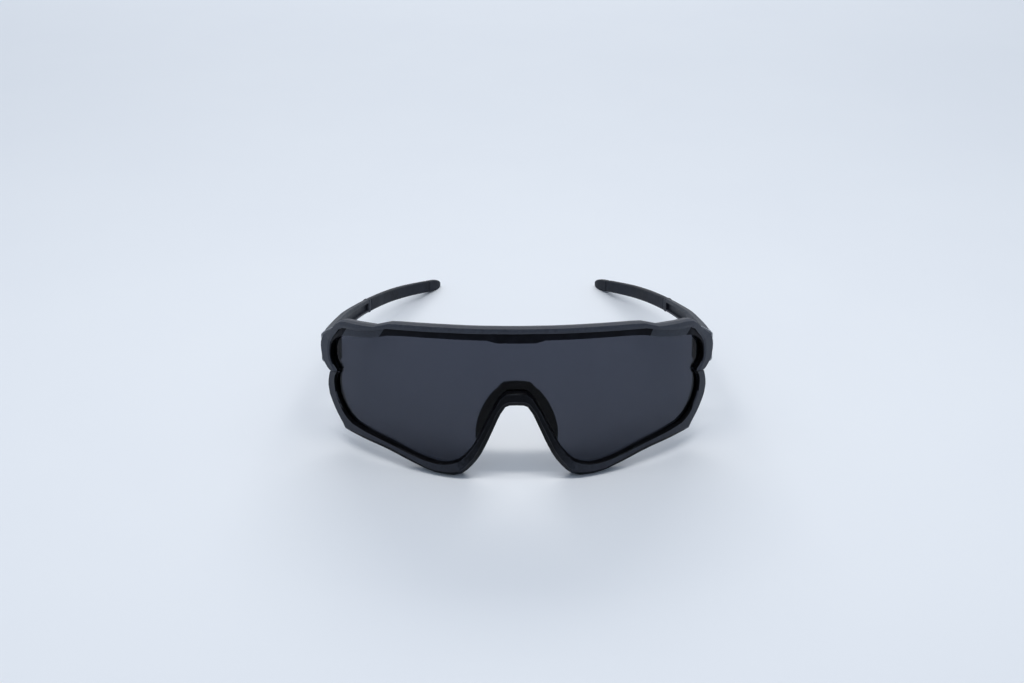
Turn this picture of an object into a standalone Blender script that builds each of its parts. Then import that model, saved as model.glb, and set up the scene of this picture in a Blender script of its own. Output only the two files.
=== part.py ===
"""Wraparound sport sunglasses with one shield lens, standing open.

Millimetre values below are turned into metres by MM. The front is drawn on the developed
surface of the lens: s runs around the wrap from the centre line, z runs up the lens and off
stands out from the lens face towards the viewer (negative values lie behind it). The front
faces -Y and the temples run back along +Y. "left" is the -X side.
"""
import math

import bmesh
import bpy
from mathutils import Matrix, Vector

MM = 0.001
FIT = 0.3                # clearance between pieces that touch
DEPTH_CENTRE = 79.24     # middle of the overall depth, measured back from the lens face

# Shield lens and the way the front stands
LENS_RADIUS = 92.0       # outer face of the lens, measured from the wrap centre
LENS_THICKNESS = 2.0
FRONT_LEAN = 11.5        # degrees the front tips back when the glasses stand on a table
FRONT_LIFT = 0.9         # brings the two lowest points of the rim onto the table

# Lens groove in both halves of the frame
LIP_DEPTH = 2.2          # how far the groove reaches past the visible lens edge
REAR_LIP = 1.4           # the rear lip stands this far back from the visible lens edge
BACK_OFF = -3.4          # rear face of the frame
STEP_LENGTH = 2.4        # longest step between two sections along the frame

# Hinge
HINGE_X = 67.7
HINGE_Y = 43.8
HINGE_Z = 30.8
ARM_PITCH = 15.5         # degrees the temples slope down to the table
LUG_RADIUS = 2.7
LUG_TOP = 4.6
TONGUE_HALF = 1.7
STOP_PLANE = -2.4        # rear face of the end piece, measured along the temple
SCREW_SHANK = 0.7
SCREW_HEAD = 1.25

# Temple lengths, measured back from the hinge axis
TRIM_START = -2.1
TRIM_END = -0.9
ARM_START = -0.6
SEAM = 65.0
CORE_END = 89.0
SOCK_START = SEAM + FIT
SOCK_END = 111.0
TIP_START = SOCK_END + FIT
TIP_END = 119.0
DOME_LENGTH = 4.6        # rounded end of the tip

# Upper frame from the centre to its lower end:
# lens edge, lower edge of the brow face, outer edge, lip off, face off, heel off, heel inset, corner
UPPER_KEYS = [
    ((0.0, 49.9), (0.0, 53.65), (0.0, 56.2), 1.0, 3.0, 0.6, 2.4, True),
    ((7.0, 49.9), (7.2, 53.65), (7.4, 56.2), 1.0, 3.0, 0.6, 2.4, True),
    ((10.0, 50.8), (10.2, 53.55), (10.4, 56.15), 1.0, 3.0, 0.6, 2.4, True),
    ((26.0, 50.6), (26.0, 53.25), (26.0, 55.95), 1.0, 3.0, 0.6, 2.4, False),
    ((41.4, 50.0), (41.2, 52.6), (41.0, 55.4), 1.0, 3.0, 0.6, 2.4, False),
    ((47.6, 49.3), (46.7, 52.3), (45.3, 55.0), 1.1, 3.1, 0.6, 2.4, True),
    ((52.4, 48.1), (51.9, 51.0), (51.6, 53.1), 1.5, 3.4, 0.6, 2.2, True),
    ((60.0, 47.0), (60.2, 49.7), (60.0, 52.8), 2.0, 3.6, 0.6, 2.4, False),
    ((67.7, 46.2), (67.4, 49.2), (67.6, 52.2), 2.3, 3.4, 0.4, 2.6, False),
    ((72.3, 44.1), (71.5, 46.0), (74.2, 47.8), 1.9, 2.6, 0.0, 3.0, False),
    ((75.0, 41.4), (75.2, 42.4), (78.9, 44.9), 1.6, 2.1, -0.4, 3.6, False),
    ((75.8, 38.0), (76.1, 38.7), (81.5, 41.5), 1.6, 2.1, -0.4, 4.0, False),
    ((75.5, 35.6), (75.9, 35.9), (81.6, 37.9), 1.6, 2.1, -0.4, 4.0, False),
    ((74.2, 33.7), (74.7, 33.7), (80.5, 34.3), 1.6, 2.1, -0.6, 4.0, False),
    ((72.4, 32.2), (73.0, 32.0), (78.0, 31.9), 1.6, 2.1, -0.8, 3.4, False),
    ((72.2, 31.3), (72.7, 31.3), (76.6, 31.1), 1.6, 2.1, -1.0, 2.6, False),
]

# Lower rim from its upper end to the middle of the nose arch:
# lens edge, outer edge, face off, chamfer across, chamfer back, lean of the inner wall, corner
LOWER_KEYS = [
    ((72.2, 30.9), (77.0, 30.6), 1.6, 0.5, 0.7, 0.1, False),
    ((73.5, 29.7), (78.1, 28.3), 1.4, 0.5, 0.7, 0.1, False),
    ((74.2, 26.9), (78.7, 24.5), 1.4, 0.5, 0.7, 0.1, False),
    ((73.7, 23.2), (78.0, 21.4), 1.4, 0.5, 0.8, 0.1, False),
    ((71.4, 19.1), (74.9, 16.5), 1.5, 0.6, 1.0, 0.1, False),
    ((68.2, 15.7), (71.6, 12.6), 1.8, 1.0, 0.9, 0.1, False),
    ((64.2, 13.4), (69.2, 9.9), 2.1, 1.5, 0.9, 0.1, True),
    ((57.2, 11.8), (60.0, 8.5), 2.4, 1.7, 1.0, 0.1, False),
    ((46.9, 9.5), (48.6, 6.5), 2.5, 1.7, 1.0, 0.1, False),
    ((37.4, 6.6), (38.2, 3.1), 2.5, 1.6, 1.2, 0.1, False),
    ((31.3, 5.1), (31.6, 0.8), 2.5, 1.5, 1.7, 0.2, False),
    ((25.8, 4.7), (25.6, 0.0), 2.5, 1.5, 1.7, 0.3, False),
    ((21.0, 6.1), (19.7, 0.8), 2.5, 1.5, 1.6, 0.4, False),
    ((17.3, 9.5), (13.9, 6.7), 2.5, 1.5, 1.5, 0.4, False),
    ((14.3, 13.9), (11.0, 11.9), 2.5, 1.5, 1.4, 0.4, False),
    ((11.2, 20.0), (8.1, 18.4), 2.5, 1.4, 1.4, 0.4, False),
    ((8.3, 26.1), (5.6, 24.0), 2.5, 1.4, 1.4, 0.4, False),
    ((5.7, 30.6), (3.9, 26.6), 2.5, 1.5, 1.4, 0.4, False),
    ((3.5, 32.4), (2.5, 27.2), 2.5, 1.7, 1.4, 0.4, True),
    ((0.0, 32.5), (0.0, 27.3), 2.5, 1.7, 1.4, 0.4, True),
]

# Nose carrier from its lower end to the middle: nose side, lens side
CARRIER_KEYS = [
    ((13.5, 11.0), (15.3, 12.2)),
    ((11.8, 14.2), (15.5, 15.6)),
    ((9.9, 18.2), (14.7, 20.2)),
    ((7.8, 22.6), (13.1, 24.4)),
    ((6.0, 26.0), (11.0, 28.0)),
    ((4.6, 27.8), (8.6, 31.0)),
    ((3.6, 28.6), (6.6, 32.7)),
    ((2.4, 29.1), (5.0, 34.4)),
    ((0.0, 29.5), (0.0, 34.9)),
]
CARRIER_FRONT = BACK_OFF - FIT
CARRIER_BACK = -5.8

# Nose pads from bottom to top: height, front edge s, rear edge s, rear edge off, thickness
PAD_KEYS = [
    (11.6, 14.2, 16.0, -11.2, 1.2),
    (12.6, 13.7, 16.6, -12.8, 2.2),
    (16.0, 12.4, 15.8, -13.8, 2.5),
    (20.0, 10.6, 13.8, -13.2, 2.5),
    (24.0, 8.8, 11.6, -11.6, 2.3),
    (27.0, 7.6, 9.8, -9.6, 2.0),
    (28.2, 7.4, 8.8, -8.4, 1.2),
]
PAD_FRONT = CARRIER_BACK - FIT

# Temple path seen from above and its section, measured in the hinge's own frame:
# distance back, outer face from the hinge axis, thickness, outer top, inner top, bottom
ARM_KEYS = [
    (-2.1, 4.8, 3.9, 5.3, 7.0, -5.4),
    (0.0, 4.75, 3.9, 5.3, 6.9, -5.3),
    (5.0, 4.8, 3.9, 5.3, 6.6, -4.7),
    (12.0, 4.7, 3.8, 5.2, 6.2, -2.9),
    (24.0, 4.0, 3.6, 5.1, 5.8, -1.5),
    (38.0, 2.6, 3.3, 5.1, 5.5, -0.9),
    (52.0, -0.3, 3.0, 5.1, 5.3, -0.3),
    (65.0, -3.8, 2.9, 5.2, 5.3, 0.1),
    (82.0, -9.4, 3.1, 5.2, 5.2, 0.3),
    (96.0, -15.6, 3.1, 5.0, 5.0, 0.1),
    (107.0, -22.7, 3.0, 4.7, 4.7, -0.1),
    (119.0, -31.3, 2.8, 4.2, 4.2, -0.5),
]

parts = bpy.data.collections.new("sport_sunglasses")
cutters = bpy.data.collections.new("cutters")


# ---------------------------------------------------------------- shared helpers

def clear_scene():
    for obj in list(bpy.data.objects):
        bpy.data.objects.remove(obj, do_unlink=True)
    bpy.context.scene.collection.children.link(parts)
    bpy.context.scene.collection.children.link(cutters)


def material(name, colour, roughness, metallic=0.0):
    mat = bpy.data.materials.new(name)
    mat.use_nodes = True
    shader = mat.node_tree.nodes["Principled BSDF"]
    shader.inputs["Base Color"].default_value = (*colour, 1.0)
    shader.inputs["Roughness"].default_value = roughness
    shader.inputs["Metallic"].default_value = metallic
    mat.diffuse_color = (*colour, 1.0)
    return mat


def new_object(name, bm, target, sharp_angle=28.0):
    bmesh.ops.recalc_face_normals(bm, faces=bm.faces[:])
    mesh = bpy.data.meshes.new(name)
    bm.to_mesh(mesh)
    bm.free()
    for polygon in mesh.polygons:
        polygon.use_smooth = True
    mesh.set_sharp_from_angle(angle=math.radians(sharp_angle))
    obj = bpy.data.objects.new(name, mesh)
    target.objects.link(obj)
    return obj


def make_cutter(obj):
    parts.objects.unlink(obj)
    cutters.objects.link(obj)
    obj.hide_render = True
    obj.display_type = "WIRE"
    return obj


def boolean(target, cutter, operation="DIFFERENCE"):
    mod = target.modifiers.new(f"{operation.lower()}_{cutter.name}", "BOOLEAN")
    mod.operation = operation
    mod.solver = "EXACT"
    mod.object = cutter


def loft(name, sections, sharp_angle=28.0):
    """Solid through a list of rings that all have the same number of points."""
    bm = bmesh.new()
    rings = [[bm.verts.new(point) for point in ring] for ring in sections]
    count = len(rings[0])
    for near, far in zip(rings, rings[1:]):
        for i in range(count):
            j = (i + 1) % count
            bm.faces.new((near[i], near[j], far[j], far[i]))
    bm.faces.new(rings[0])
    bm.faces.new(rings[-1])
    return new_object(name, bm, parts, sharp_angle)


def spline(points, corners, steps):
    """Smooth curve through the points that breaks at the flagged corners."""
    vectors = [Vector(point) for point in points]
    last = len(vectors) - 1

    def slope(i, side):
        before = max(i - 1, 0)
        after = min(i + 1, last)
        if corners[i]:
            before, after = (i, after) if side > 0 else (before, i)
        if before == after:
            return vectors[i] * 0.0
        length = sum((vectors[k + 1] - vectors[k]).length for k in range(before, after))
        return (vectors[after] - vectors[before]) / max(length, 1e-6)

    result = [vectors[0]]
    for i in range(last):
        chord = (vectors[i + 1] - vectors[i]).length
        start = slope(i, 1) * chord
        end = slope(i + 1, -1) * chord
        for k in range(1, steps[i] + 1):
            t = k / steps[i]
            h00 = 2 * t ** 3 - 3 * t ** 2 + 1
            h10 = t ** 3 - 2 * t ** 2 + t
            h01 = 3 * t ** 2 - 2 * t ** 3
            h11 = t ** 3 - t ** 2
            result.append(vectors[i] * h00 + start * h10 + vectors[i + 1] * h01 + end * h11)
    return result


def step_counts(points):
    """Number of equal steps that keeps every stretch of an outline below STEP_LENGTH."""
    pairs = zip(points, points[1:])
    return [max(1, round((Vector(b) - Vector(a)).length / STEP_LENGTH)) for a, b in pairs]


def blend_values(rows, steps):
    """Straight blends of plain numbers between the keys."""
    result = [rows[0]]
    for row, following, count in zip(rows, rows[1:], steps):
        for k in range(1, count + 1):
            t = k / count
            result.append(tuple(a + (b - a) * t for a, b in zip(row, following)))
    return result


# ---------------------------------------------------------------- front of the glasses

def front_matrix():
    lean = Matrix.Rotation(math.radians(-FRONT_LEAN), 4, "X")
    return Matrix.Translation((0.0, -DEPTH_CENTRE * MM, FRONT_LIFT * MM)) @ lean


def on_shield(s, z, off):
    """World position of a point given on the developed surface of the lens."""
    angle = s / LENS_RADIUS
    reach = LENS_RADIUS + off
    local = Vector((reach * math.sin(angle), LENS_RADIUS - reach * math.cos(angle), z)) * MM
    return front_matrix() @ local


def outward(inner, outer):
    return (outer - inner).normalized()


def upper_stations():
    corners = [key[7] for key in UPPER_KEYS]
    steps = step_counts([key[2] for key in UPPER_KEYS])
    inner = spline([key[0] for key in UPPER_KEYS], corners, steps)
    face = spline([key[1] for key in UPPER_KEYS], corners, steps)
    outer = spline([key[2] for key in UPPER_KEYS], corners, steps)
    depth = blend_values([key[3:7] for key in UPPER_KEYS], steps)
    return list(zip(inner, face, outer, depth))


def upper_section(inner, face, outer, depth):
    """Section of the brow and end piece: groove, lip, slightly rounded face, top and rear."""
    lip_off, face_off, heel_off, heel_inset = depth
    d = outward(inner, outer)
    groove = inner + d * LIP_DEPTH
    rear_lip = inner + d * REAR_LIP
    width = (outer - face).length
    bevel = min(0.6, width * 0.3)
    heel = outer - d * heel_inset
    return [
        (groove, FIT),
        (inner, FIT),
        (inner, lip_off),
        (face, lip_off + 0.1),
        (face + d * 0.1, face_off - 0.35),
        (face + d * min(1.0, width * 0.45), face_off),
        (outer - d * bevel, face_off),
        (outer, face_off - 1.3),
        (outer, heel_off),
        (heel, BACK_OFF),
        (rear_lip, BACK_OFF),
        (rear_lip, -LENS_THICKNESS - FIT),
        (groove, -LENS_THICKNESS - FIT),
    ]


def lower_stations():
    corners = [key[6] for key in LOWER_KEYS]
    steps = step_counts([key[1] for key in LOWER_KEYS])
    inner = spline([key[0] for key in LOWER_KEYS], corners, steps)
    outer = spline([key[1] for key in LOWER_KEYS], corners, steps)
    face = blend_values([key[2:6] for key in LOWER_KEYS], steps)
    return list(zip(inner, outer, face))


def lower_section(inner, outer, face):
    """Section of the lower rim: groove, inner wall, face, step and chamfer, side and rear."""
    face_off, across, back, lean = face
    d = outward(inner, outer)
    groove = inner + d * LIP_DEPTH
    rear_lip = inner + d * REAR_LIP
    return [
        (groove, FIT),
        (inner, FIT),
        (inner + d * lean, face_off - 0.4),
        (inner + d * (lean + 0.3), face_off),
        (outer - d * across, face_off),
        (outer - d * across * 0.9, face_off - 0.3),
        (outer, face_off - back),
        (outer, -2.8),
        (outer - d * 0.7, BACK_OFF),
        (rear_lip, BACK_OFF),
        (rear_lip, -LENS_THICKNESS - FIT),
        (groove, -LENS_THICKNESS - FIT),
    ]


def both_sides(half):
    """Full run of sections from the left end to the right end, given the right half."""
    mirrored = [[((-p.x, p.y), off) for p, off in ring] for ring in half]
    plain = [[((p.x, p.y), off) for p, off in ring] for ring in half]
    if abs(half[0][0][0].x) < 1e-6:
        run = mirrored[:0:-1] + plain
    else:
        run = plain + mirrored[-2::-1]
    return [[on_shield(sz[0], sz[1], off) for sz, off in ring] for ring in run]


def build_upper_frame():
    half = [upper_section(*station) for station in upper_stations()]
    return loft("upper_frame", both_sides(half))


def build_lower_rim():
    half = [lower_section(*station) for station in lower_stations()]
    return loft("lower_rim", both_sides(half))


def lens_outline():
    """Closed outline of the lens blank, just inside the bottom of the groove."""
    reach = LIP_DEPTH - FIT
    upper = [i + outward(i, o) * reach for i, f, o, depth in upper_stations()]
    lower = [i + outward(i, o) * reach for i, o, face in lower_stations()]
    right = upper + lower
    left = [Vector((-p.x, p.y)) for p in right[-2:0:-1]]
    return right + left


def build_lens():
    """Flat blank cut to the outline, sliced into upright strips and bent around the wrap."""
    bm = bmesh.new()
    rim = [bm.verts.new((p.x, 0.0, p.y)) for p in lens_outline()]
    sheet = bm.faces.new(rim)
    sides = bmesh.ops.extrude_face_region(bm, geom=[sheet])
    raised = [item for item in sides["geom"] if isinstance(item, bmesh.types.BMVert)]
    bmesh.ops.translate(bm, verts=raised, vec=(0.0, LENS_THICKNESS, 0.0))
    strips = 52
    reach = max(abs(v.co.x) for v in bm.verts)
    for k in range(1, strips):
        x = -reach + 2.0 * reach * k / strips
        everything = bm.verts[:] + bm.edges[:] + bm.faces[:]
        bmesh.ops.bisect_plane(bm, geom=everything, plane_co=(x, 0.0, 0.0), plane_no=(1.0, 0.0, 0.0))
    bmesh.ops.remove_doubles(bm, verts=bm.verts[:], dist=0.0005)
    for vert in bm.verts:
        vert.co = on_shield(vert.co.x, vert.co.z, -vert.co.y)
    return new_object("shield_lens", bm, parts, 35.0)


# ---------------------------------------------------------------- nose piece

def build_carrier():
    corners = [False] * len(CARRIER_KEYS)
    steps = [2] * (len(CARRIER_KEYS) - 1)
    nose = spline([key[0] for key in CARRIER_KEYS], corners, steps)
    lens = spline([key[1] for key in CARRIER_KEYS], corners, steps)
    half = []
    for a, b in zip(nose, lens):
        d = outward(a, b)
        half.append([
            (a + d * 0.5, CARRIER_FRONT),
            (b - d * 0.4, CARRIER_FRONT),
            (b, CARRIER_FRONT - 0.5),
            (b - d * 0.5, CARRIER_BACK),
            (a + d * 0.4, CARRIER_BACK),
            (a, CARRIER_FRONT - 0.8),
        ])
    return loft("nose_carrier", both_sides(half))


def build_pad(name, side):
    """Soft blade that splays outwards towards the face, thickest in the middle."""
    heights = [key[0] for key in PAD_KEYS]
    steps = [3] * (len(PAD_KEYS) - 1)
    front = spline([(key[1], key[0]) for key in PAD_KEYS], [False] * len(heights), steps)
    rear = spline([(key[2], key[3]) for key in PAD_KEYS], [False] * len(heights), steps)
    thick = blend_values([(key[4],) for key in PAD_KEYS], steps)
    sections = []
    for f, r, (t,) in zip(front, rear, thick):
        z = f.y
        start = Vector((f.x, PAD_FRONT))
        end = Vector((r.x, r.y))
        along = (end - start).normalized()
        across = Vector((-along.y, along.x)) * t / 2
        ring = []
        for reach, width in ((0.0, 0.75), (0.2, 1.0), (0.6, 0.95), (0.88, 0.75), (1.0, 0.3)):
            ring.append(start.lerp(end, reach) + across * width)
        for reach, width in ((1.0, 0.3), (0.88, 0.75), (0.6, 0.95), (0.2, 1.0), (0.0, 0.75)):
            ring.append(start.lerp(end, reach) - across * width)
        sections.append([on_shield(side * p.x, z, min(p.y, PAD_FRONT)) for p in ring])
    return loft(name, sections, 50.0)


# ---------------------------------------------------------------- temples

def hinge_matrix(side):
    place = Matrix.Translation(Vector((side * HINGE_X, HINGE_Y - DEPTH_CENTRE, HINGE_Z)) * MM)
    return place @ Matrix.Rotation(math.radians(-ARM_PITCH), 4, "X")


def seat_on_hinge(obj, side):
    obj.matrix_world = hinge_matrix(side)
    return obj


def arm_values(u):
    """Outer face, thickness, outer top, inner top and bottom of the temple at a distance u."""
    keys = ARM_KEYS
    i = max(k for k in range(len(keys) - 1) if keys[k][0] <= u or k == 0)
    a, b = keys[i], keys[i + 1]
    before = keys[max(i - 1, 0)]
    after = keys[min(i + 2, len(keys) - 1)]
    span = b[0] - a[0]
    t = (u - a[0]) / span
    values = []
    for c in range(1, 6):
        start = (b[c] - before[c]) / (b[0] - before[0]) * span
        end = (after[c] - a[c]) / (after[0] - a[0]) * span
        h00 = 2 * t ** 3 - 3 * t ** 2 + 1
        h10 = t ** 3 - 2 * t ** 2 + t
        h01 = 3 * t ** 2 - 2 * t ** 3
        h11 = t ** 3 - t ** 2
        values.append(a[c] * h00 + start * h10 + b[c] * h01 + end * h11)
    return values


def arm_frame(u, side):
    """Point on the outer face of the temple and the direction into its thickness."""
    here = arm_values(u)[0]
    slope = (arm_values(u + 0.5)[0] - arm_values(u - 0.5)[0]) if u > -1.5 else 0.0
    inward = Vector((-1.0, slope)).normalized()
    return Vector((side * here, u)), Vector((side * inward.x, inward.y))


def arm_ring(u, side, inset=0.0, bevel=0.7, shrink=1.0):
    """Bevelled section of the temple; inset draws every face inwards by that amount."""
    outer, thick, top_out, top_in, bottom = arm_values(u)
    origin, inward = arm_frame(u, side)
    near = inset
    far = thick - inset
    low = bottom + inset
    high_near = top_out - inset
    high_far = top_in - inset
    corner = [
        (near + bevel * 0.6, low),
        (near, low + bevel),
        (near, high_near - bevel),
        (near + bevel, high_near),
        (far - bevel * 0.6, high_far),
        (far, high_far - bevel * 0.6),
        (far, low + bevel),
        (far - bevel * 0.6, low),
    ]
    middle = Vector(((near + far) / 2, (low + high_near) / 2))
    ring = []
    for across, height in corner:
        p = middle + (Vector((across, height)) - middle) * shrink
        plan = origin + inward * p.x
        ring.append(Vector((plan.x, plan.y, p.y)) * MM)
    return ring


def spread(start, end, count):
    return [start + (end - start) * k / count for k in range(count + 1)]


def peg_rings(start, end, count, side, inset):
    return [arm_ring(u, side, inset, 0.2) for u in spread(start, end, count)]


def build_temple(name, side):
    """Hard front half with a collar at the seam and a core that runs into the sock."""
    rings = [arm_ring(u, side) for u in spread(ARM_START, SEAM - 1.6, 24)]
    rings += [arm_ring(u, side, -0.2) for u in (SEAM - 1.3, SEAM - 0.2)]
    rings += [arm_ring(SEAM, side, 0.1)]
    rings += peg_rings(SEAM + 0.1, CORE_END, 8, side, 0.85)
    temple = loft(name, rings, 30.0)
    seat_on_hinge(temple, side)
    return temple


def inner_recess(name, side):
    """Long pocket on the inside of the temple, tapering towards the hinge."""
    rings = []
    for u in spread(30.0, SEAM - 2.4, 12):
        outer, thick, top_out, top_in, bottom = arm_values(u)
        origin, inward = arm_frame(u, side)
        taper = min(1.0, 0.35 + (u - 30.0) / 14.0)
        middle = (bottom + top_in) / 2 - 0.2
        half = (top_in - bottom) * 0.27 * taper
        ring = []
        for across, height in ((-1.3, -half), (-1.3, half), (0.9, half + 0.25), (0.9, -half - 0.25)):
            plan = origin + inward * (thick + across)
            ring.append(Vector((plan.x, plan.y, middle + height)) * MM)
        rings.append(ring)
    return make_cutter(seat_on_hinge(loft(name, rings), side))


def build_trim(name, side):
    """Thin plate across the front end of the temple, standing slightly proud of it."""
    rings = [arm_ring(u, side, -0.3, 0.9) for u in (TRIM_START, TRIM_START + 0.3)]
    rings += [arm_ring(u, side, -0.35, 0.8) for u in (TRIM_END - 0.3, TRIM_END)]
    return seat_on_hinge(loft(name, rings), side)


def build_sock(name, side):
    rings = [arm_ring(SOCK_START, side, 0.05)]
    rings += [arm_ring(u, side, -0.1, 0.8) for u in spread(SOCK_START + 0.4, SOCK_END, 18)]
    sock = seat_on_hinge(loft(name, rings, 40.0), side)
    core = loft(f"{name}_core_pocket", peg_rings(SEAM - 0.5, CORE_END + FIT, 9, side, 0.55))
    boolean(sock, make_cutter(seat_on_hinge(core, side)))
    peg = loft(f"{name}_tip_pocket", peg_rings(SOCK_END - 3.3, SOCK_END + 0.5, 2, side, 0.55))
    boolean(sock, make_cutter(seat_on_hinge(peg, side)))
    return sock


def build_tip(name, side):
    """Rounded end cap with a peg that enters the sock."""
    rings = peg_rings(SOCK_END - 3.0, TIP_START - 0.1, 2, side, 0.85)
    rings += [arm_ring(TIP_START, side, 0.05)]
    dome = TIP_END - DOME_LENGTH
    rings += [arm_ring(u, side, -0.1, 0.8) for u in spread(TIP_START + 0.4, dome, 2)]
    for k in range(1, 8):
        angle = math.radians(90.0 * k / 7.5)
        u = dome + DOME_LENGTH * math.sin(angle)
        rings.append(arm_ring(u, side, -0.1, 0.8, max(math.cos(angle), 0.12)))
    return seat_on_hinge(loft(name, rings, 50.0), side)


# ---------------------------------------------------------------- hinges

def cylinder(name, radius, low, high, side, segments=32):
    """Upright cylinder on the hinge axis."""
    bm = bmesh.new()
    bmesh.ops.create_cone(bm, cap_ends=True, segments=segments, radius1=radius * MM,
                          radius2=radius * MM, depth=(high - low) * MM)
    bmesh.ops.translate(bm, verts=bm.verts[:], vec=(0.0, 0.0, (high + low) / 2 * MM))
    return seat_on_hinge(new_object(name, bm, parts), side)


def prism(name, outline, low, high, side):
    """Upright prism over an outline given in the hinge's own plan."""
    rings = [[Vector((side * x, y, z)) * MM for x, y in outline] for z in (low, high)]
    return seat_on_hinge(loft(name, rings), side)


def arc(radius, start, end, count):
    angles = [math.radians(a) for a in spread(start, end, count)]
    return [(radius * math.cos(a), radius * math.sin(a)) for a in angles]


def revolve(name, profile, side, segments=32):
    """Body of revolution on the hinge axis from a profile listed down its outer side."""
    bm = bmesh.new()
    verts = [bm.verts.new((x * MM, 0.0, z * MM)) for x, z in profile]
    for a, b in zip(verts, verts[1:] + verts[:1]):
        if (a.co.x, b.co.x) != (0.0, 0.0):
            bm.edges.new((a, b))
    bmesh.ops.spin(bm, geom=bm.verts[:] + bm.edges[:], cent=(0, 0, 0), axis=(0, 0, 1),
                   angle=math.tau, steps=segments)
    bmesh.ops.remove_doubles(bm, verts=bm.verts[:], dist=0.000002)
    return seat_on_hinge(new_object(name, bm, parts), side)


def add_frame_hinge(frame, tag, side):
    """Cuts the end piece square, adds the two lugs and bores them for screw and insert."""
    heel = [(-9.0, STOP_PLANE), (9.0, STOP_PLANE), (9.0, 12.0), (-9.0, 12.0)]
    boolean(frame, make_cutter(prism(f"heel_cut_{tag}", heel, -9.0, 12.0, side)))
    block = [(-LUG_RADIUS, -3.6), (-1.4, -4.3), (0.4, -4.5), (3.4, -4.4), (4.4, STOP_PLANE - 0.2),
             (4.3, STOP_PLANE), (LUG_RADIUS, STOP_PLANE)]
    block += arc(LUG_RADIUS, 0.0, 180.0, 14)
    boolean(frame, make_cutter(prism(f"hinge_block_{tag}", block, -LUG_TOP, LUG_TOP, side)), "UNION")
    slot_radius = LUG_RADIUS + FIT
    slot = arc(slot_radius, -180.0, -40.0, 12) + [(6.0, STOP_PLANE), (6.0, 6.0), (-slot_radius, 6.0)]
    height = TONGUE_HALF + FIT
    boolean(frame, make_cutter(prism(f"tongue_slot_{tag}", slot, -height, height, side)))
    bore = SCREW_SHANK + FIT
    sink = SCREW_HEAD + FIT
    nest = 1.6 + FIT
    profile = [(0.0, 6.0), (nest, 6.0), (nest, 1.0), (bore, 1.0), (bore, -3.2), (sink, -3.2),
               (sink, -6.0), (0.0, -6.0)]
    boolean(frame, make_cutter(revolve(f"screw_bore_{tag}", profile, side)))


def add_temple_hinge(temple, tag, side):
    """Gives the temple its tongue, clears it around the lugs and bores it for the bush."""
    tongue = arc(LUG_RADIUS, 90.0, 290.0, 14) + [(2.6, ARM_START), (2.6, LUG_RADIUS + 1.2)]
    shape = prism(f"tongue_{tag}", tongue, -TONGUE_HALF, TONGUE_HALF, side)
    boolean(temple, make_cutter(shape), "UNION")
    clear = LUG_RADIUS + FIT
    pocket = arc(clear, 0.0, 180.0, 14) + [(-clear, -6.0), (clear, -6.0)]
    for label, low, high in (("upper", TONGUE_HALF, LUG_TOP + FIT), ("lower", -9.0, -TONGUE_HALF)):
        boolean(temple, make_cutter(prism(f"lug_room_{label}_{tag}", pocket, low, high, side)))
    boolean(temple, make_cutter(cylinder(f"bush_bore_{tag}", 1.6 + FIT, -3.0, 3.0, side)))


def build_screw(name, side):
    profile = [(0.0, 3.9), (SCREW_SHANK - 0.15, 3.9), (SCREW_SHANK, 3.7), (SCREW_SHANK, -3.5),
               (SCREW_HEAD, -3.5), (SCREW_HEAD, -4.3), (SCREW_HEAD - 0.2, -4.5), (0.0, -4.5)]
    screw = revolve(name, profile, side)
    bm = bmesh.new()
    bmesh.ops.create_cube(bm, size=1.0)
    bmesh.ops.scale(bm, verts=bm.verts[:], vec=(3.2 * MM, 0.35 * MM, 0.8 * MM))
    bmesh.ops.translate(bm, verts=bm.verts[:], vec=(0.0, 0.0, -4.5 * MM))
    slot = seat_on_hinge(new_object(f"{name}_slot", bm, parts), side)
    boolean(screw, make_cutter(slot))
    return screw


def build_ring(name, low, high, side):
    inner = SCREW_SHANK + FIT
    profile = [(1.45, high), (1.6, high - 0.15), (1.6, low + 0.15), (1.45, low), (inner, low),
               (inner, high)]
    return revolve(name, profile, side)


# ---------------------------------------------------------------- table contact

def floor_cutter():
    """Slab below the table plane that leaves small flats where the glasses stand."""
    bm = bmesh.new()
    bmesh.ops.create_cube(bm, size=1.0)
    bmesh.ops.scale(bm, verts=bm.verts[:], vec=(0.3, 0.4, 0.02))
    bmesh.ops.translate(bm, verts=bm.verts[:], vec=(0.0, 0.0, -0.01))
    return make_cutter(new_object("table_plane", bm, parts))


# ---------------------------------------------------------------- assembly

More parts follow.
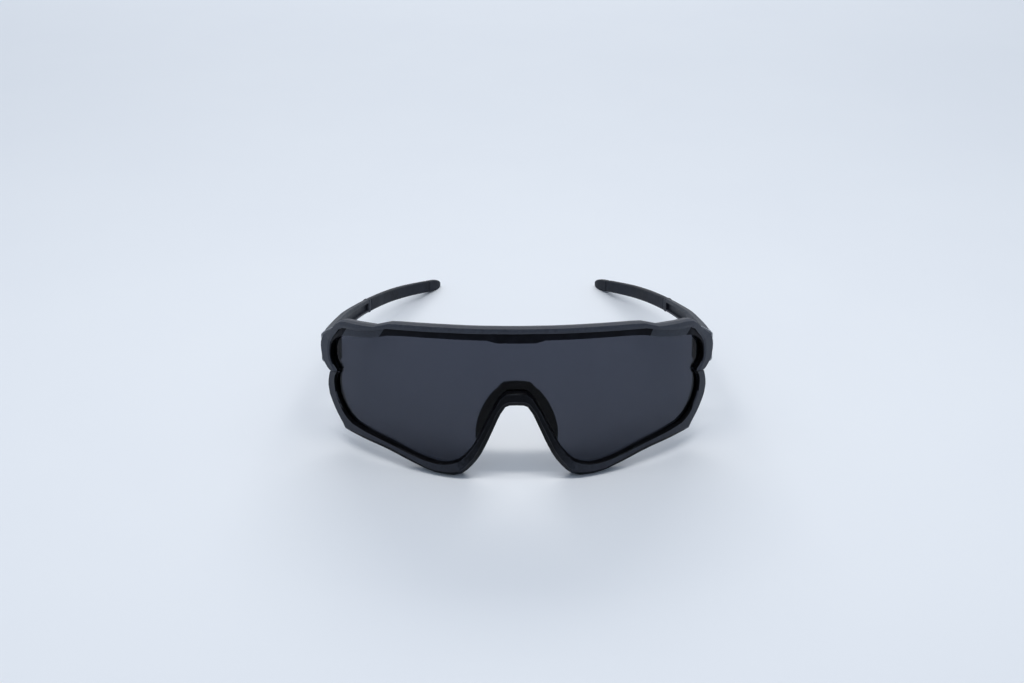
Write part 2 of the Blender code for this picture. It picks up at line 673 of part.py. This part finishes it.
def build():
    clear_scene()
    frame_black = material("frame_matte_black", (0.016, 0.016, 0.019), 0.52)
    rim_black = material("rim_satin_black", (0.013, 0.013, 0.017), 0.48)
    lens_smoke = material("lens_smoke", (0.045, 0.052, 0.070), 0.08)
    carrier_black = material("carrier_black", (0.010, 0.010, 0.012), 0.5)
    pad_rubber = material("pad_rubber", (0.014, 0.014, 0.016), 0.85)
    temple_black = material("temple_matte_black", (0.022, 0.022, 0.026), 0.5)
    trim_grey = material("trim_satin_grey", (0.38, 0.39, 0.42), 0.3, 0.9)
    sock_rubber = material("sock_rubber", (0.018, 0.018, 0.022), 0.8)
    tip_rubber = material("tip_rubber", (0.020, 0.020, 0.024), 0.75)
    screw_steel = material("screw_steel", (0.45, 0.45, 0.47), 0.32, 1.0)
    bush_nylon = material("bush_nylon", (0.55, 0.54, 0.50), 0.5)
    insert_brass = material("insert_brass", (0.62, 0.46, 0.20), 0.35, 1.0)

    frame = build_upper_frame()
    rim = build_lower_rim()
    lens = build_lens()
    carrier = build_carrier()
    table = floor_cutter()
    boolean(rim, table)
    finishes = [(frame, frame_black), (rim, rim_black), (lens, lens_smoke), (carrier, carrier_black)]

    for tag, side in (("left", -1), ("right", 1)):
        add_frame_hinge(frame, tag, side)
        temple = build_temple(f"temple_{tag}", side)
        boolean(temple, inner_recess(f"recess_{tag}", side))
        add_temple_hinge(temple, tag, side)
        trim = build_trim(f"temple_trim_{tag}", side)
        clear = LUG_RADIUS + FIT
        room = [(clear, -6.0), (clear, 3.0), (-6.0, 3.0), (-6.0, -6.0)]
        boolean(trim, make_cutter(prism(f"trim_room_{tag}", room, -9.0, LUG_TOP + FIT, side)))
        tip = build_tip(f"temple_tip_{tag}", side)
        boolean(tip, table)
        finishes += [
            (temple, temple_black),
            (trim, trim_grey),
            (tip, tip_rubber),
            (build_sock(f"ear_sock_{tag}", side), sock_rubber),
            (build_pad(f"nose_pad_{tag}", side), pad_rubber),
            (build_screw(f"hinge_screw_{tag}", side), screw_steel),
            (build_ring(f"hinge_bush_{tag}", -1.5, 1.5, side), bush_nylon),
            (build_ring(f"hinge_insert_{tag}", 2.1, 4.4, side), insert_brass),
        ]
    for obj, finish in finishes:
        obj.data.materials.clear()
        obj.data.materials.append(finish)


build()
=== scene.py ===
"""Looks of the wraparound sport sunglasses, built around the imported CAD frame."""

import math

import bpy
from mathutils import Matrix, Vector, noise
from mathutils.bvhtree import BVHTree


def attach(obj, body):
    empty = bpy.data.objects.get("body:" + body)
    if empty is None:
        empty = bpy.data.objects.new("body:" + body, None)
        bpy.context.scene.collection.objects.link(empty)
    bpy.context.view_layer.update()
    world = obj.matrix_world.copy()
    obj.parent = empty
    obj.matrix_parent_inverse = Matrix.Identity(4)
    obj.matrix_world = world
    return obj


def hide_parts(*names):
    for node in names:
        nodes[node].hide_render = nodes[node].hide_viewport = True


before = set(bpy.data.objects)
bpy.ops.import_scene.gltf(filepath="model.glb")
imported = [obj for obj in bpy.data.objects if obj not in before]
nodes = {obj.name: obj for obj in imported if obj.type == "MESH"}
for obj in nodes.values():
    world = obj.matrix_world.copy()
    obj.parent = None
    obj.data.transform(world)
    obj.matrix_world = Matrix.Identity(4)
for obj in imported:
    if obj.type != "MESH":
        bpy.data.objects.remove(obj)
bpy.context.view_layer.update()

CAMERA_AT = (0.0019, -0.5041, 0.2825)    # metres, in front of the glasses and above them
CAMERA_PITCH = 28.1                      # degrees below the horizon
CAMERA_YAW = -0.45
CAMERA_ROLL = -0.36
CAMERA_LENS = 50.0                       # millimetres, on the sensor below
SENSOR_WIDTH = 36.0

# Places on the frame are given on the lens rolled out flat, in millimetres: around it from the
# centre line, up it, and off its outer face.
LENS_RADIUS = 92.0
FRONT_ORIGIN = Vector((0.0, -0.07924, 0.0009))          # metres
LEAN = Matrix.Rotation(math.radians(11.5), 3, "X")
FRAME_OFF = (-0.1, 3.8)                  # faces further in or out than this are plain outside
BROW_UP = 34.0                           # above this a face belongs to the brow or an end piece
NOSE_HALF = 21.0                         # around, either side, to where the nose arch reaches
BROW_STEP_AROUND = 49.5                  # around to here the brow has a low step
BROW_STEP_OFF = 1.9                      # and this far off the lens a face still belongs to it
END_AROUND = 66.0                        # around from here the end pieces start
END_STEP_OFF = (2.45, 0.65)              # the same limit on an end piece, and how much it falls
END_STEP_FALL = (67.7, 6.5)              # around, where that fall starts and how long it is

OUTSIDE, LOW_STEP, WALL, CHAMFER, NOSE_ARCH = range(5)   # material slots of the frame parts

NOISE_MIDDLE = (0.35, 0.65)              # where most values of a noise texture lie
# painted shade, mixed into the corners and recesses of the walls and steps
CORNER_PAINTED_SHADE = (0.0006, 0.0006, 0.0009)

RIB_HEIGHT = 0.00006                     # metres, like the three below
RIB_PITCH = 0.0016
DIMPLE_HEIGHT = 0.00003
FLOOR_DROP = 0.00002                     # keeps the floor from cutting the flats that stand on it
DIMPLES_PER_METRE = 900.0
FLOOR_HALF = 40.0                        # metres, far enough that no horizon shows

WORLD_COLOUR = (0.715, 0.835, 1.0)
WORLD_LEVEL = (0.14, 0.515)              # strength of its darkest and brightest directions
WORLD_RAMPS = (                          # axis, where the light starts to rise, where it is full
    ("Z", 0.05, 0.75),
    ("Y", -0.35, 0.8),
    ("X", 0.3, 0.9),
    ("X", -0.3, -0.9),
)
LAMP_COLOUR = (1.0, 0.97, 0.92)


# ---------------------------------------------------------------- node helpers

class Nodes:
    """Small wrapper that adds and links the nodes of one material."""

    def __init__(self, name):
        self.material = bpy.data.materials.new(name)
        self.material.use_nodes = True
        self.tree = self.material.node_tree
        self.shader = self.tree.nodes["Principled BSDF"]
        self.coordinates = self.tree.nodes.new("ShaderNodeTexCoord").outputs["Object"]

    def add(self, kind, **settings):
        node = self.tree.nodes.new(kind)
        for key, value in settings.items():
            setattr(node, key, value)
        return node

    def link(self, source, target):
        self.tree.links.new(source, target)

    def noise(self, scale, detail=3.0, roughness=0.5, stretch=(1.0, 1.0, 1.0)):
        """Noise in the object's own space; scale is in cells per metre."""
        mapping = self.add("ShaderNodeMapping")
        mapping.inputs["Scale"].default_value = stretch
        self.link(self.coordinates, mapping.inputs["Vector"])
        texture = self.add("ShaderNodeTexNoise")
        texture.inputs["Scale"].default_value = scale
        texture.inputs["Detail"].default_value = detail
        texture.inputs["Roughness"].default_value = roughness
        self.link(mapping.outputs["Vector"], texture.inputs["Vector"])
        return texture.outputs["Fac"]

    def spread(self, value, low, high, low_to=0.0, high_to=1.0):
        """Maps low..high of a value onto low_to..high_to."""
        node = self.add("ShaderNodeMapRange", clamp=True)
        node.inputs["From Min"].default_value = low
        node.inputs["From Max"].default_value = high
        node.inputs["To Min"].default_value = low_to
        node.inputs["To Max"].default_value = high_to
        self.link(value, node.inputs["Value"])
        return node.outputs["Result"]

    def maths(self, operation, a, b=0.5):
        node = self.add("ShaderNodeMath", operation=operation)
        for socket, value in zip(node.inputs, (a, b)):
            if isinstance(value, (int, float)):
                socket.default_value = value
            else:
                self.link(value, socket)
        return node.outputs["Value"]

    def mix(self, factor, a, b):
        """Blend of two colours, each a tuple or a socket, by a socket."""
        node = self.add("ShaderNodeMix", data_type="RGBA")
        self.link(factor, node.inputs[0])
        for socket, value in ((node.inputs[6], a), (node.inputs[7], b)):
            if isinstance(value, tuple):
                socket.default_value = (*value, 1.0)
            else:
                self.link(value, socket)
        return node.outputs[2]

    def split(self):
        """The x, y and z of the object's own space, as the outputs of one node."""
        node = self.add("ShaderNodeSeparateXYZ")
        self.link(self.coordinates, node.inputs["Vector"])
        return node.outputs

    def edges(self, radius):
        """0 on flats and 1 on outer and inner edges, from how far a rounded normal turns away."""
        bevel = self.add("ShaderNodeBevel", samples=4)
        bevel.inputs["Radius"].default_value = radius
        geometry = self.add("ShaderNodeNewGeometry")
        dot = self.add("ShaderNodeVectorMath", operation="DOT_PRODUCT")
        self.link(bevel.outputs["Normal"], dot.inputs[0])
        self.link(geometry.outputs["Normal"], dot.inputs[1])
        return self.spread(dot.outputs["Value"], 1.0, 0.82)

    def hollows(self, reach):
        """0 deep inside recesses and corners, 1 on open faces."""
        node = self.add("ShaderNodeAmbientOcclusion", samples=8)
        node.inputs["Distance"].default_value = reach
        return self.spread(node.outputs["AO"], 0.2, 0.9)

    def bump(self, height, distance, round_radius=0.0):
        """Bump of a distance in metres, over a normal rounded at the edges if a radius is given."""
        node = self.add("ShaderNodeBump")
        node.inputs["Distance"].default_value = distance
        node.inputs["Strength"].default_value = 1.0
        self.link(height, node.inputs["Height"])
        if round_radius:
            bevel = self.add("ShaderNodeBevel", samples=6)
            bevel.inputs["Radius"].default_value = round_radius
            self.link(bevel.outputs["Normal"], node.inputs["Normal"])
        self.link(node.outputs["Normal"], self.shader.inputs["Normal"])

    def colour(self, value):
        self.link(value, self.shader.inputs["Base Color"])

    def roughness(self, value):
        self.link(value, self.shader.inputs["Roughness"])

    def constant(self, **values):
        """Sets sockets of the shader itself, with _ for each space in a socket's name."""
        for key, value in values.items():
            self.shader.inputs[key.replace("_", " ")].default_value = value


# ---------------------------------------------------------------- materials

def moulded_plastic(name, dark, light, edge, rough, grain=1100.0, depth=0.00004, middle=None,
                    fade=(0.006, 0.036), shine=0.28):
    """Spark-textured black moulding: fine grain, soft cloudiness and edges in the edge colour, which is
    rubbed wear and, where paler than the body, partly a painted edge highlight.

    grain is in cells per metre and depth in metres. middle, if given, is the darker body colour
    towards the nose, which fades out over the distances from the centre line that fade gives."""
    m = Nodes(name)
    fine = m.noise(grain, 2.0, 0.6)
    coarse = m.noise(grain * 0.35, 3.0, 0.6)
    cloud = m.noise(60.0, 4.0, 0.55)
    speckle = m.maths("ADD", m.spread(fine, 0.38, 0.62, 0.0, 0.45),
                      m.spread(coarse, 0.38, 0.62, 0.0, 0.35))
    blend = m.maths("ADD", speckle, m.spread(cloud, *NOISE_MIDDLE, 0.0, 0.2))
    body = m.mix(blend, dark, light)
    if middle:
        across = m.maths("ABSOLUTE", m.split()["X"])
        body = m.mix(m.spread(across, *fade), m.mix(blend, middle, dark), body)
    # outer and inner edges take the edge colour, broken up by noise: rubbed wear and, where that colour
    # is paler, partly painted highlight
    edge_wear_and_highlight = m.maths("MULTIPLY", m.edges(0.0004), m.spread(m.noise(260.0, 3.0), 0.4, 0.62))
    m.colour(m.mix(edge_wear_and_highlight, body, edge))
    m.roughness(m.spread(m.maths("ADD", coarse, fine), 0.8, 1.2, rough - 0.08, rough + 0.08))
    m.bump(m.maths("ADD", fine, coarse), depth, 0.00022)
    m.constant(Specular_IOR_Level=shine)
    return m.material


def polished_black_and_painted_shade(name, low, high, rough, shine):
    """Smooth black of the walls and steps that face the lens: partly a glossier black, partly painted
    shade of these recesses, with more painted shade down in the corners.
    """
    m = Nodes(name)
    faint = m.noise(320.0, 3.0)
    open_face = m.mix(m.spread(faint, *NOISE_MIDDLE), low, high)
    # painted shade: the colour goes to near black deep in corners and recesses
    m.colour(m.mix(m.hollows(0.0035), CORNER_PAINTED_SHADE, open_face))
    m.roughness(m.spread(m.noise(150.0, 3.0), *NOISE_MIDDLE, rough - 0.06, rough + 0.06))
    m.bump(faint, 0.00001, 0.00015)
    m.constant(Specular_IOR_Level=shine)
    return m.material


def rubber(name, dark, light, rough):
    """Soft touch rubber: very fine grain, a faint bloom and handling marks."""
    m = Nodes(name)
    fine = m.noise(2600.0, 2.0, 0.65)
    bloom = m.noise(120.0, 5.0, 0.6)
    marks = m.noise(45.0, 2.0, 0.5, (1.0, 0.35, 1.0))
    blend = m.maths("ADD", m.spread(bloom, 0.36, 0.66, 0.0, 0.6),
                    m.spread(fine, *NOISE_MIDDLE, 0.0, 0.4))
    m.colour(m.mix(blend, dark, light))
    m.roughness(m.spread(marks, 0.38, 0.6, rough - 0.08, rough + 0.06))
    m.bump(fine, 0.00002, 0.0003)
    m.constant(Specular_IOR_Level=0.22, Sheen_Weight=0.03, Sheen_Roughness=0.5)
    return m.material


def smoke_lens():
    """Grey polycarbonate with a hard coat, a little darker towards the lower edge.

    Its index of refraction is well below polycarbonate's: with 1.5 it mirrored too much of the studio."""
    m = Nodes("look_lens_smoke")
    height = m.spread(m.split()["Z"], 0.004, 0.05)
    clouds = m.spread(m.noise(18.0, 2.0), *NOISE_MIDDLE)
    tint = m.mix(height, (0.046, 0.052, 0.070), (0.055, 0.061, 0.082))
    m.colour(m.mix(m.maths("MULTIPLY", clouds, 0.25), tint, (0.062, 0.069, 0.091)))
    smears = m.noise(55.0, 4.0, 0.6, (1.0, 1.0, 0.35))
    m.roughness(m.spread(smears, 0.42, 0.7, 0.005, 0.03))
    m.constant(Transmission_Weight=1.0, IOR=1.2, Specular_IOR_Level=0.5)
    return m.material


def satin_metal(name, dark, light, rough, stretch, brush=900.0):
    """Brushed or turned metal.

    A stretch below 1 draws its lines out along that axis, and above 1 packs them."""
    m = Nodes(name)
    lines = m.noise(brush, 3.0, 0.6, stretch)
    cloud = m.noise(150.0, 3.0)
    m.colour(m.mix(m.spread(m.maths("ADD", lines, cloud), 0.75, 1.25), dark, light))
    m.roughness(m.spread(lines, *NOISE_MIDDLE, rough - 0.06, rough + 0.08))
    m.bump(lines, 0.00001, 0.0001)
    m.constant(Metallic=1.0)
    return m.material


def nylon(name):
    """Undyed nylon of the hinge bushes."""
    m = Nodes(name)
    fine = m.noise(1800.0, 2.0)
    m.colour(m.mix(m.spread(fine, *NOISE_MIDDLE), (0.50, 0.49, 0.45), (0.60, 0.59, 0.55)))
    m.roughness(m.spread(m.noise(300.0), *NOISE_MIDDLE, 0.42, 0.55))
    m.bump(fine, 0.00001)
    m.constant(Subsurface_Weight=0.1, Subsurface_Scale=0.001)
    return m.material


def paint(names, *materials):
    """Puts these materials on CAD nodes, in place of the plain ones."""
    for name in names:
        data = nodes[name].data
        data.materials.clear()
        for material in materials:
            data.materials.append(material)


# ---------------------------------------------------------------- zones of the frame parts

def on_lens(point):
    """A point's distances around, up and off the lens, and the directions along and out of it."""
    local = LEAN @ (Vector(point) - FRONT_ORIGIN) * 1000.0
    arm = Vector((local.x, local.y - LENS_RADIUS, 0.0))
    around = LENS_RADIUS * math.atan2(local.x, LENS_RADIUS - local.y)
    out = arm.normalized()
    along = Vector((-out.y, out.x, 0.0))
    return around, local.z, arm.length - LENS_RADIUS, along, out


def frame_zone(face, lens):
    """The zone of one face of a frame part, from its place and the way that it faces."""
    around, up, off, along, out = on_lens(face.center)
    normal = LEAN @ face.normal
    facing = normal.dot(out)
    if not FRAME_OFF[0] < off < FRAME_OFF[1]:
        return OUTSIDE
    if abs(facing) < 0.6:
        start = face.center + face.normal * 0.0005
        inwards = LEAN.transposed() @ -out
        over_lens = lens.ray_cast(start, inwards, 0.006)[0] is not None
        if over_lens or under_brow(around, up, normal, along):
            return WALL
    if up > BROW_UP:
        return LOW_STEP if facing > 0.5 and off < low_step_off(abs(around)) else OUTSIDE
    if abs(around) < NOSE_HALF:
        return NOSE_ARCH
    slanted = 0.3 < facing < 0.95
    return CHAMFER if slanted and off > 0.5 and abs(around) < END_AROUND else OUTSIDE


def low_step_off(side):
    """How far off the lens a face still belongs to a low step, at a distance around either way.

    The step between the brow and the end pieces is textured like the outside, so it has none."""
    if side < BROW_STEP_AROUND:
        return BROW_STEP_OFF
    if side < END_AROUND:
        return 0.0
    most, fall = END_STEP_OFF
    start, length = END_STEP_FALL
    return most - fall * min(1.0, max(0.0, (side - start) / length))


def under_brow(around, up, normal, along):
    """Whether a face is of the wall between the brow's face and the step below it.

    On the end pieces that wall stands upright and faces the centre line."""
    if up < BROW_UP:
        return False
    if abs(around) < END_AROUND:
        return normal.z < -0.5
    return normal.dot(along) * around < -0.5 * abs(around)


def mark_zones(name):
    """Gives each face of a frame part the material of its zone."""
    data = nodes["shield_lens"].data
    lens = BVHTree.FromPolygons([v.co for v in data.vertices], [p.vertices for p in data.polygons])
    for face in nodes[name].data.polygons:
        face.material_index = frame_zone(face, lens)


def pair(stem):
    return [f"{stem}_left", f"{stem}_right"]


# ---------------------------------------------------------------- soft rubber pieces

def nose_ribs(point):
    """Shallow ribs across a nose pad, in metres along the surface normal."""
    return RIB_HEIGHT * (math.cos(point.z * math.tau / RIB_PITCH) - 1.0)


def grip_dimples(point):
    """Fine orange-peel relief of moulded rubber, in metres along the surface normal."""
    return DIMPLE_HEIGHT * noise.noise(point * DIMPLES_PER_METRE)


def body_of(name):
    """The CAD body that a nose pad or a rubber piece of a temple moves with."""
    if name.startswith("nose_pad"):
        return "front"
    return "left_temple" if name.endswith("_left") else "right_temple"


def soften(names, cell, relief, material):
    """Stands a rounded, finely meshed rubber piece with surface relief in for each CAD solid.

    cell is the size of its faces, in metres."""
    for name in names:
        source = nodes[name]
        piece = bpy.data.objects.new(f"{name}_rubber", source.data.copy())
        bpy.context.scene.collection.objects.link(piece)
        piece.matrix_world = source.matrix_world.copy()
        remesh = piece.modifiers.new("remesh", "REMESH")
        remesh.mode = "VOXEL"
        remesh.voxel_size = cell
        rounding = piece.modifiers.new("rounding", "SMOOTH")
        rounding.factor = 0.4
        rounding.iterations = 1
        evaluated = piece.evaluated_get(bpy.context.evaluated_depsgraph_get())
        mesh = bpy.data.meshes.new_from_object(evaluated)
        piece.modifiers.clear()
        piece.data = mesh
        moves = [vertex.normal * relief(vertex.co) for vertex in mesh.vertices]
        for vertex, move in zip(mesh.vertices, moves):
            vertex.co += move
        mesh.materials.clear()
        mesh.materials.append(material)
        mesh.polygons.foreach_set("use_smooth", [True] * len(mesh.polygons))
        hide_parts(name)
        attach(piece, body_of(name))


# ---------------------------------------------------------------- the object

def dress_frame():
    """Upper frame and lower rim, each with a textured outside and a material for each zone; the step,
    wall and chamfer zones carry painted shade.
    """
    frame_black = moulded_plastic(
        "look_frame_black", dark=(0.021, 0.025, 0.038), light=(0.041, 0.048, 0.067),
        edge=(0.09, 0.094, 0.11), rough=0.54, shine=0.36)
    rim_black = moulded_plastic(
        "look_rim_black", dark=(0.014, 0.017, 0.027), light=(0.031, 0.036, 0.051),
        edge=(0.05, 0.055, 0.07), rough=0.5, middle=(0.002, 0.003, 0.005))
    # steps and walls far darker than the outside moulding: partly a glossier black, partly painted shade
    # of the recesses under the brow and along the lens
    step_black_and_shade = polished_black_and_painted_shade(
        "look_step_black_and_shade", (0.004, 0.0045, 0.0075), (0.008, 0.009, 0.014), rough=0.36, shine=0.07)
    wall_black_and_shade = polished_black_and_painted_shade(
        "look_wall_black_and_shade", (0.0010, 0.0011, 0.0017), (0.0022, 0.0024, 0.0036), rough=0.5, shine=0.04)
    # a darker copy of the rim moulding: painted shade on the chamfers that turn down towards the floor
    chamfer_painted_shade = moulded_plastic(
        "look_chamfer_painted_shade", dark=(0.003, 0.004, 0.006), light=(0.008, 0.010, 0.015),
        edge=(0.012, 0.014, 0.019), rough=0.5, middle=(0.002, 0.003, 0.004), shine=0.08)
    nose_black = moulded_plastic(
        "look_nose_black", dark=(0.005, 0.006, 0.009), light=(0.036, 0.041, 0.054),
        edge=(0.05, 0.055, 0.07), rough=0.42, middle=(0.0008, 0.001, 0.0016),
        fade=(0.012, 0.023), shine=0.11)
    zones = [step_black_and_shade, wall_black_and_shade, chamfer_painted_shade, nose_black]      # LOW_STEP to NOSE_ARCH
    paint(["upper_frame"], frame_black, *zones)
    paint(["lower_rim"], rim_black, *zones)
    mark_zones("upper_frame")
    mark_zones("lower_rim")


def dress_hard_pieces():
    """Lens, carrier, temples and the metal and nylon pieces."""
    paint(["shield_lens"], smoke_lens())
    paint(["nose_carrier"], moulded_plastic(
        "look_carrier_black", dark=(0.085, 0.102, 0.128), light=(0.112, 0.132, 0.166),
        edge=(0.07, 0.072, 0.08), rough=0.5))
    paint(pair("temple"), moulded_plastic(
        "look_temple_black", dark=(0.012, 0.015, 0.023), light=(0.036, 0.041, 0.055),
        edge=(0.07, 0.075, 0.09), rough=0.55, grain=900.0, depth=0.00005))
    paint(pair("temple_trim"), satin_metal(
        "look_trim_metal", (0.34, 0.35, 0.38), (0.46, 0.47, 0.50), 0.3, stretch=(1.0, 1.0, 0.08)))
    paint(pair("hinge_screw"), satin_metal(
        "look_screw_steel", (0.42, 0.42, 0.43), (0.55, 0.55, 0.56), 0.28, stretch=(1.0, 1.0, 3.0),
        brush=1500.0))
    paint(pair("hinge_insert"), satin_metal(
        "look_insert_brass", (0.52, 0.37, 0.14), (0.66, 0.50, 0.24), 0.3, stretch=(1.0, 1.0, 3.0),
        brush=1500.0))
    paint(pair("hinge_bush"), nylon("look_bush_nylon"))


def build_rubber():
    """Nose pads, ear socks and temple tips."""
    soften(pair("nose_pad"), 0.0003, nose_ribs,
           rubber("look_pad_rubber", (0.030, 0.032, 0.037), (0.050, 0.053, 0.06), 0.72))
    soften(pair("ear_sock"), 0.00035, grip_dimples,
           rubber("look_sock_rubber", (0.004, 0.006, 0.010), (0.019, 0.023, 0.034), 0.7))
    soften(pair("temple_tip"), 0.0003, grip_dimples,
           rubber("look_tip_rubber", (0.007, 0.009, 0.014), (0.023, 0.027, 0.038), 0.66))


# ---------------------------------------------------------------- setting

def build_floor():
    corners = [(x * FLOOR_HALF, y * FLOOR_HALF, 0) for x, y in ((-1, -1), (1, -1), (1, 1), (-1, 1))]
    mesh = bpy.data.meshes.new("floor")
    mesh.from_pydata(corners, [], [(0, 1, 2, 3)])
    floor = bpy.data.objects.new("floor", mesh)
    bpy.context.scene.collection.objects.link(floor)
    floor.location.z = -FLOOR_DROP
    m = Nodes("look_floor")
    faint = m.spread(m.noise(9.0, 3.0), *NOISE_MIDDLE)
    m.colour(m.mix(faint, (0.80, 0.828, 0.875), (0.81, 0.838, 0.882)))
    m.roughness(m.spread(m.noise(40.0), *NOISE_MIDDLE, 0.78, 0.86))
    m.constant(Specular_IOR_Level=0.1)
    mesh.materials.append(m.material)


def soft_light(name, centre, target, size, power):
    """Rectangular lamp at centre that points at target; sizes in metres and power in watts."""
    data = bpy.data.lights.new(name, "AREA")
    data.shape = "RECTANGLE"
    data.size, data.size_y = size
    data.energy = power
    data.color = LAMP_COLOUR
    lamp = bpy.data.objects.new(name, data)
    bpy.context.scene.collection.objects.link(lamp)
    lamp.location = centre
    aim = Vector(target) - Vector(centre)
    lamp.rotation_euler = aim.to_track_quat("-Z", "Y").to_euler()
    lamp.visible_camera = False


def build_world():
    """Cool world light that is brightest from above, behind and both sides."""
    world = bpy.data.worlds.new("studio")
    bpy.context.scene.world = world
    world.use_nodes = True
    tree = world.node_tree
    background = tree.nodes["Background"]
    direction = tree.nodes.new("ShaderNodeTexCoord").outputs["Generated"]
    split = tree.nodes.new("ShaderNodeSeparateXYZ")
    tree.links.new(direction, split.inputs["Vector"])
    parts = []
    for axis, low, high in WORLD_RAMPS:
        ramp = tree.nodes.new("ShaderNodeMapRange")
        ramp.interpolation_type = "SMOOTHSTEP"
        ramp.inputs["From Min"].default_value = low
        ramp.inputs["From Max"].default_value = high
        tree.links.new(split.outputs[axis], ramp.inputs["Value"])
        parts.append(ramp.outputs["Result"])
    value = parts[0]
    for part in parts[1:]:
        highest = tree.nodes.new("ShaderNodeMath")
        highest.operation = "MAXIMUM"
        tree.links.new(value, highest.inputs[0])
        tree.links.new(part, highest.inputs[1])
        value = highest.outputs["Value"]
    level = tree.nodes.new("ShaderNodeMapRange")
    level.inputs["To Min"].default_value, level.inputs["To Max"].default_value = WORLD_LEVEL
    tree.links.new(value, level.inputs["Value"])
    tree.links.new(level.outputs["Result"], background.inputs["Strength"])
    background.inputs["Color"].default_value = (*WORLD_COLOUR, 1.0)


def build_lamps():
    soft_light("top_strip", (0.0, -0.105, 0.62), (0.0, -0.105, 0.0), (0.56, 0.05), 1.4)
    for side in (-1, 1):
        soft_light(f"side_strip_{side}", (side * 0.32, -0.03, 0.62), (0.0, -0.03, 0.0),
                   (0.05, 0.45), 0.3)
    soft_light("back_panel", (0.0, 1.5, 0.95), (0.0, 0.0, 0.0), (1.4, 0.5), 12.8)


def build_camera():
    pitch, yaw, roll = (math.radians(a) for a in (CAMERA_PITCH, CAMERA_YAW, CAMERA_ROLL))
    turn = Matrix.Rotation(-yaw, 4, "Z") @ Matrix.Rotation(math.pi / 2 - pitch, 4, "X")
    data = bpy.data.cameras.new("camera")
    data.lens = CAMERA_LENS
    data.sensor_width = SENSOR_WIDTH
    data.clip_start = 0.01
    camera = bpy.data.objects.new("camera", data)
    bpy.context.scene.collection.objects.link(camera)
    camera.matrix_world = Matrix.Translation(CAMERA_AT) @ turn @ Matrix.Rotation(roll, 4, "Z")
    bpy.context.scene.camera = camera
    bpy.context.scene.view_settings.view_transform = "Standard"


dress_frame()
dress_hard_pieces()
build_rubber()
build_floor()
build_world()
build_lamps()
build_camera()
